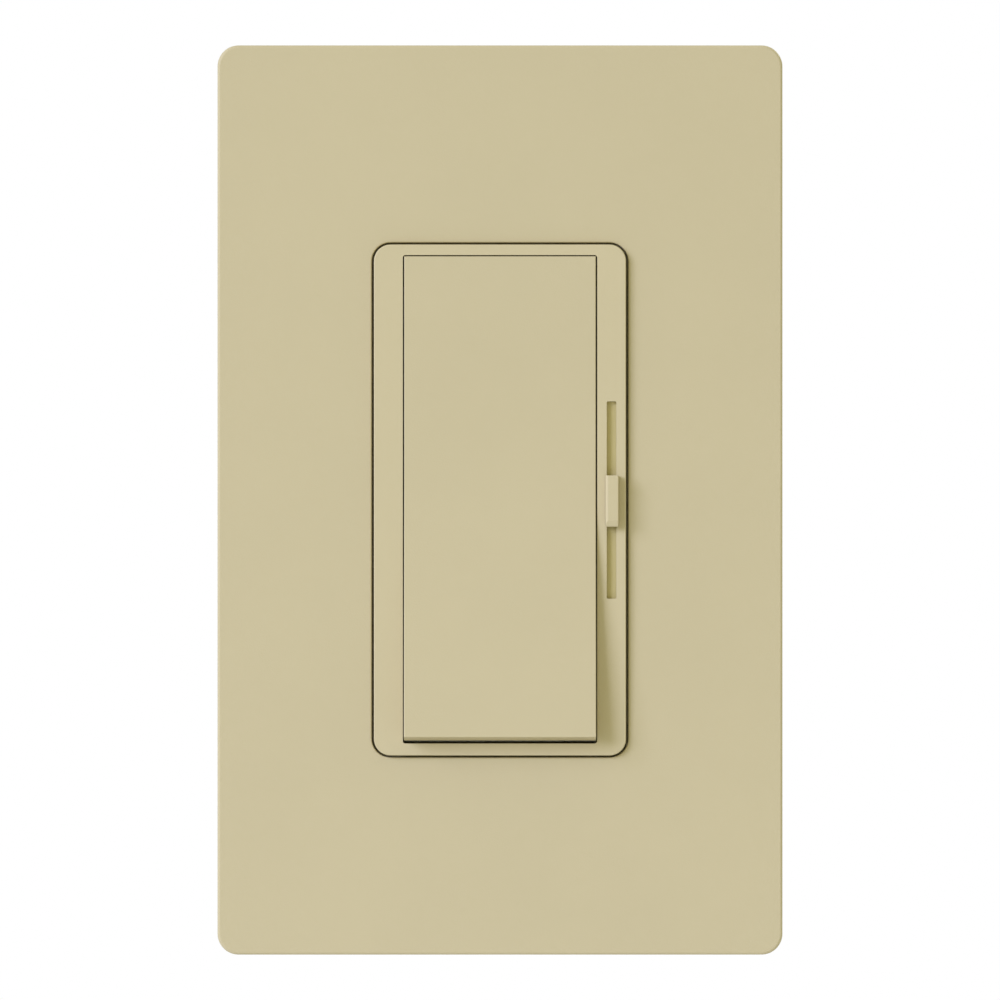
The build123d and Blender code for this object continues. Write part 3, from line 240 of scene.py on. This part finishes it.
# The CAD's material slots. After a finish's name come its colour and roughness, then the width
# of its grain or lumps; a woven finish has the width of its threads before the roughness.
finishes = {
    "ivory_plastic": ivory("ivory_plastic", IVORY, 0.45),
    "adapter_plastic": moulded("adapter_plastic", ADAPTER_IVORY, 0.5, 0.3 * MM, 0.01 * MM),
    "black_plastic": glass_filled("black_plastic", (0.02, 0.02, 0.022), 0.5),
    "aluminium": metal("aluminium", (0.78, 0.79, 0.80), 0.34, 0.25 * MM, ROLLED),
    "zinc_steel": metal(
        "zinc_steel", (0.70, 0.71, 0.72), 0.3, 0.5 * MM, EVEN, tint=(0.66, 0.62, 0.50)
    ),
    "fibre": woven("fibre", (0.28, 0.06, 0.035), 0.25 * MM, 0.65, specular=0.3),
    "grey_fibre": woven("grey_fibre", (0.2, 0.19, 0.16), 0.2 * MM, 0.7, specular=0.3),
    "brass": metal("brass", (0.72, 0.50, 0.20), 0.28, 0.3 * MM, ROLLED, tint=(0.55, 0.34, 0.13)),
    "copper": metal("copper", (0.78, 0.36, 0.18), 0.3, 0.3 * MM, ROLLED, tint=(0.5, 0.22, 0.1)),
    "board": woven("board", (0.03, 0.13, 0.05), 0.35 * MM, 0.3),
    "phenolic": woven("phenolic", (0.25, 0.11, 0.035), 0.3 * MM, 0.45),
    "white_plastic": moulded("white_plastic", (0.74, 0.72, 0.65), 0.38, 0.3 * MM, 0.006 * MM),
    "epoxy": coated("epoxy", (0.012, 0.012, 0.014), 0.45, 0.4 * MM),
    "silicone_pad": coated("silicone_pad", (0.3, 0.31, 0.33), 0.7, 0.6 * MM, specular=0.3),
    "ferrite": coated("ferrite", (0.62, 0.5, 0.08), 0.5, 0.5 * MM),
    "enamel_wire": metal(
        "enamel_wire", (0.6, 0.2, 0.07), 0.22, 0.2 * MM, DRAWN, tint=(0.38, 0.1, 0.03)
    ),
    "film_yellow": coated("film_yellow", (0.66, 0.42, 0.03), 0.25),
    "dip_green": coated("dip_green", (0.02, 0.16, 0.05), 0.2),
    "dip_blue": coated("dip_blue", (0.02, 0.07, 0.3), 0.2),
    "beige_lacquer": coated("beige_lacquer", (0.6, 0.46, 0.26), 0.3),
    "tinned_wire": metal("tinned_wire", (0.76, 0.77, 0.78), 0.25, 0.2 * MM, DRAWN),
    "spring_steel": metal("spring_steel", (0.56, 0.57, 0.58), 0.25, 0.15 * MM, EVEN),
}

slot_of = {row["node"]: row["material_slot"] for row in frame["record"]["subparts"]}
device_ivory = ivory("device_ivory", DEVICE_IVORY, 0.42)
# The shutter's material carries painted warm shade: its ivory is yellower, for the shade at the
# bottom of the slot.
shutter_ivory_painted_shade = ivory("shutter_ivory_painted_shade", SHUTTER_IVORY_PAINTED_SHADE, 0.42)
for name, node in nodes.items():
    node.data.materials.clear()
    node.data.materials.append(finishes[slot_of[name]])
for name in ("bezel", "slider_knob"):
    nodes[name].data.materials[0] = device_ivory
nodes["slider_shutter"].data.materials[0] = shutter_ivory_painted_shade


# ---------------------------------------------------------------- threaded screws
RING_POINTS = 28
RINGS_PER_TURN = 8
FLANK_SLOPE = 1.9
CREST_LEVEL = 1.35
POINT_NARROWING = 0.45


def shank_rows(pitch, root, crest, y_start, y_end, taper):
    """Rings of a threaded shank about Y: lists of points, from y_start to y_end."""
    steps = round((y_end - y_start) / pitch * RINGS_PER_TURN)
    for i in range(steps + 1):
        y = y_start + (y_end - y_start) * i / steps
        ring = []
        for k in range(RING_POINTS):
            angle = 2 * math.pi * k / RING_POINTS
            phase = ((y - y_start) / pitch - k / RING_POINTS) % 1.0
            rise = min(1.0, max(0.0, CREST_LEVEL - abs(2 * phase - 1) * FLANK_SLOPE))
            point = max(0.0, (y - (y_end - taper)) / taper)
            r = (root + (crest - root) * rise) * (1 - POINT_NARROWING * point)
            ring.append(Vector((r * math.cos(angle), y, r * math.sin(angle))))
        yield ring


def thread(mesh, centre, pitch, root, crest, y_start, y_end, taper):
    """Adds a closed threaded shank to a bmesh, its axis through centre."""
    last = None
    for ring in shank_rows(pitch, root, crest, y_start, y_end, taper):
        row = [mesh.verts.new(p + centre) for p in ring]
        if last:
            for k in range(len(row)):
                j = (k + 1) % len(row)
                face = mesh.faces.new((last[k], last[j], row[j], row[k]))
                face.smooth = True
        else:
            mesh.faces.new(row)
        last = row
    mesh.faces.new(list(reversed(last)))


SCREW_PITCH = 0.794 * MM
SCREW_CREST = 1.75 * MM
SCREW_ROOT = 1.33 * MM
SCREW_POINT = 0.9 * MM
BOX_SCREW_Z = 41.67 * MM
BOX_SCREW_THREAD_START = 1.0 * MM
PLATE_SCREW_Z = 48.4 * MM
PLATE_SCREW_THREAD_START = -3.7 * MM
FACE_MARGIN = 0.02 * MM


def threaded(node, thread_start, screw_z, y_end):
    """A copy of a CAD node of two screws whose plain shanks past thread_start are real threads."""
    piece = bpy.data.objects.new(node + "_threaded", nodes[node].data.copy())
    bpy.context.scene.collection.objects.link(piece)
    mesh = bmesh.new()
    mesh.from_mesh(piece.data)
    shank = [f for f in mesh.faces if max(v.co.y for v in f.verts) > thread_start + FACE_MARGIN]
    bmesh.ops.delete(mesh, geom=shank, context="FACES")
    for z in (screw_z, -screw_z):
        centre = Vector((0, 0, z))
        thread(mesh, centre, SCREW_PITCH, SCREW_ROOT, SCREW_CREST, thread_start, y_end, SCREW_POINT)
    mesh.to_mesh(piece.data)
    mesh.free()
    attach(piece, "chassis")
    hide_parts(node)


threaded(
    "mounting_screws",
    BOX_SCREW_THREAD_START,
    BOX_SCREW_Z,
    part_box("mounting_screws")[1].y,
)
threaded(
    "adapter_screws",
    PLATE_SCREW_THREAD_START,
    PLATE_SCREW_Z,
    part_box("adapter_screws")[1].y,
)

# ---------------------------------------------------------------- return spring
SPRING_TURNS = 5
SPRING_DEAD_TURNS = 0.75
SPRING_WIRE = 0.25 * MM
SPRING_POINTS_PER_TURN = 24
SPRING_WIRE_RESOLUTION = 4


def spring_points(centre, radius, y_start, y_end):
    """The line of a compression spring about Y with a closed coil at each end."""
    turns = SPRING_TURNS + 2 * SPRING_DEAD_TURNS
    steps = round(turns * SPRING_POINTS_PER_TURN)
    for i in range(steps + 1):
        turn = turns * i / steps
        live = min(max(turn - SPRING_DEAD_TURNS, 0), SPRING_TURNS) / SPRING_TURNS
        angle = 2 * math.pi * turn
        y = y_start + (y_end - y_start) * live
        yield centre + Vector((radius * math.cos(angle), y, radius * math.sin(angle)))


def return_spring():
    """The plunger's spring, which the plunger presses towards the switch frame; it is drawn at one
    fixed length.
    """
    low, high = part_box("plunger_spring")
    radius = (high.x - low.x) / 2 - SPRING_WIRE
    centre = Vector(((low.x + high.x) / 2, 0, (low.z + high.z) / 2))
    points = list(spring_points(centre, radius, low.y + SPRING_WIRE, high.y - SPRING_WIRE))
    line = bpy.data.curves.new("spring_line", "CURVE")
    line.dimensions = "3D"
    line.bevel_depth = SPRING_WIRE
    line.bevel_resolution = SPRING_WIRE_RESOLUTION
    line.use_fill_caps = True
    spline = line.splines.new("POLY")
    spline.points.add(len(points) - 1)
    for place, point in zip(spline.points, points):
        place.co = (*point, 1)
    holder = bpy.data.objects.new("spring_line", line)
    mesh = bpy.data.meshes.new_from_object(holder)
    bpy.data.objects.remove(holder)
    mesh.materials.append(finishes["spring_steel"])
    piece = bpy.data.objects.new("return_spring", mesh)
    bpy.context.scene.collection.objects.link(piece)
    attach(piece, "chassis")
    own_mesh(piece)
    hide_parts("plunger_spring")


return_spring()

# ---------------------------------------------------------------- stage
FLOOR_Z = -0.13
FLOOR_RADIUS = 0.6
FLOOR_SIDES = 96
FLOOR_FADE_START = 0.15
FLOOR_MOTTLE = 0.05
FLOOR_DARK = (0.74, 0.74, 0.74, 1)
FLOOR_LIGHT = (0.76, 0.76, 0.76, 1)


def floor():
    """A round pale floor that fades out towards its rim."""
    bpy.ops.mesh.primitive_circle_add(
        vertices=FLOOR_SIDES, radius=FLOOR_RADIUS, fill_type="NGON", location=(0, 0, FLOOR_Z)
    )
    made = bpy.context.active_object
    made.name = "floor"
    material, shader = start_material("floor", roughness=0.8, metallic=0.0, specular=0.2)
    tree = material.node_tree
    stops = [(NOISE_LOW, FLOOR_DARK), (NOISE_HIGH, FLOOR_LIGHT)]
    tone(tree, shader, surface_noise(tree, FLOOR_MOTTLE), stops)
    place = tree.nodes.new("ShaderNodeTexCoord")
    length = tree.nodes.new("ShaderNodeVectorMath")
    length.operation = "LENGTH"
    fade = tree.nodes.new("ShaderNodeMapRange")
    fade.interpolation_type = "SMOOTHSTEP"
    fade.inputs["From Min"].default_value = FLOOR_FADE_START
    fade.inputs["From Max"].default_value = FLOOR_RADIUS
    clear = tree.nodes.new("ShaderNodeBsdfTransparent")
    mix = tree.nodes.new("ShaderNodeMixShader")
    surface = tree.nodes["Material Output"]
    tree.links.new(place.outputs["Object"], length.inputs[0])
    tree.links.new(length.outputs["Value"], fade.inputs["Value"])
    tree.links.new(fade.outputs["Result"], mix.inputs["Fac"])
    tree.links.new(shader.outputs["BSDF"], mix.inputs[1])
    tree.links.new(clear.outputs["BSDF"], mix.inputs[2])
    tree.links.new(mix.outputs["Shader"], surface.inputs["Surface"])
    made.data.materials.append(material)


def softbox(name, location, size, power, colour):
    """A square area light aimed at the object."""
    light = bpy.data.lights.new(name, "AREA")
    light.shape = "SQUARE"
    light.size = size
    light.energy = power
    light.color = colour
    made = bpy.data.objects.new(name, light)
    made.location = location
    made.rotation_euler = (-Vector(location)).to_track_quat("-Z", "Y").to_euler()
    bpy.context.scene.collection.objects.link(made)


BACK_LIGHT_FROM = 0.35


def surroundings(seen, low, high, front):
    """A white room: seen is how bright the camera sees it, low and high how much light comes
    from below and above. The light from the front half of the room has the colour front."""
    world = bpy.data.worlds.new("room")
    bpy.context.scene.world = world
    world.use_nodes = True
    tree = world.node_tree
    place = tree.nodes.new("ShaderNodeTexCoord")
    parts = tree.nodes.new("ShaderNodeSeparateXYZ")
    height = tree.nodes.new("ShaderNodeMapRange")
    height.inputs["From Min"].default_value = -1
    height.inputs["To Min"].default_value = low
    height.inputs["To Max"].default_value = high
    sides = tree.nodes.new("ShaderNodeValToRGB")
    ahead, behind = sides.color_ramp.elements
    ahead.position, ahead.color = 0.0, (*front, 1)
    behind.position, behind.color = BACK_LIGHT_FROM, (1, 1, 1, 1)
    light = tree.nodes["Background"]
    white = tree.nodes.new("ShaderNodeBackground")
    white.inputs["Color"].default_value = (1, 1, 1, 1)
    white.inputs["Strength"].default_value = seen
    path = tree.nodes.new("ShaderNodeLightPath")
    mix = tree.nodes.new("ShaderNodeMixShader")
    tree.links.new(place.outputs["Generated"], parts.inputs["Vector"])
    tree.links.new(parts.outputs["Y"], sides.inputs["Fac"])
    tree.links.new(parts.outputs["Z"], height.inputs["Value"])
    tree.links.new(height.outputs["Result"], light.inputs["Strength"])
    tree.links.new(sides.outputs["Color"], light.inputs["Color"])
    tree.links.new(path.outputs["Is Camera Ray"], mix.inputs["Fac"])
    tree.links.new(light.outputs["Background"], mix.inputs[1])
    tree.links.new(white.outputs["Background"], mix.inputs[2])
    tree.links.new(mix.outputs["Shader"], tree.nodes["World Output"].inputs["Surface"])


floor()
surroundings(seen=1.0, low=0.5, high=0.66, front=(1.03, 1.0, 0.66))
softbox("key", location=(-1.75, -1.5, 0.8), size=1.25, power=40.0, colour=(0.957, 1.0, 1.48))
softbox("back", location=(1.5, 1.6, 1.2), size=1.0, power=26.0, colour=(1.0, 1.0, 1.0))

# ---------------------------------------------------------------- camera
CAMERA_DISTANCE = 0.8136
LENS = 223.6
SENSOR_WIDTH = 36.0

camera_data = bpy.data.cameras.new("camera")
camera_data.lens = LENS
camera_data.sensor_width = SENSOR_WIDTH
camera = bpy.data.objects.new("camera", camera_data)
camera.location = (0, -CAMERA_DISTANCE, 0)
camera.rotation_euler = (math.radians(90), 0, 0)
bpy.context.scene.collection.objects.link(camera)
bpy.context.scene.camera = camera

scene = bpy.context.scene
scene.view_settings.view_transform = "Standard"
scene.view_settings.look = "None"
